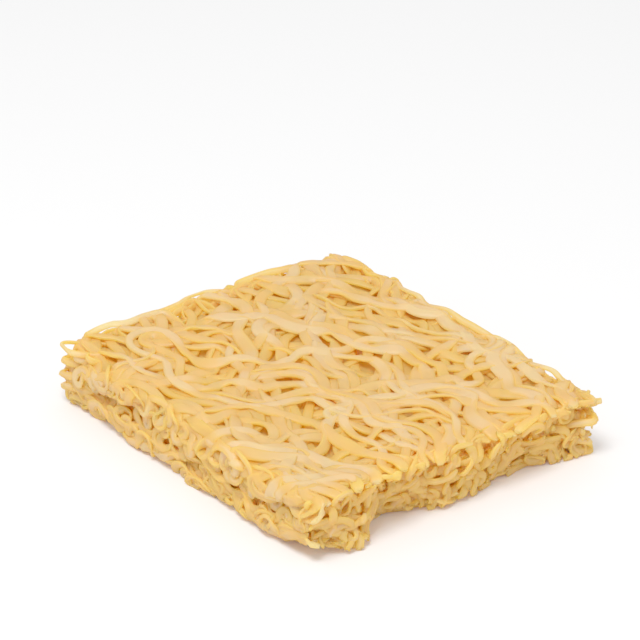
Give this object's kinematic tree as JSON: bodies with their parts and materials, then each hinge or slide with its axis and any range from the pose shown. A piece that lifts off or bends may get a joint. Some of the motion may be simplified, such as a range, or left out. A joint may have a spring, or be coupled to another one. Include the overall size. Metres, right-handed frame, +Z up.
{
  "type": "block of dry rice ramen noodles",
  "caption": "Flat rectangular block of dry wavy rice noodles, one sheet folded in half, with a rounded fold, looped sides and a ragged cut end.",
  "frame": {"origin": "on the resting plane, under the middle of the block's bounding box", "axes": "+X along the noodles, from the fold to the cut end; +Y across them; +Z up, out of the upper face"},
  "size_m": [0.1102, 0.093, 0.0186],
  "materials": {
    "dry_noodle": "satin, slightly translucent dry rice starch"
  },
  "bodies": {
    "root": {"noodle_block": "dry_noodle"}
  },
  "joints": []
}
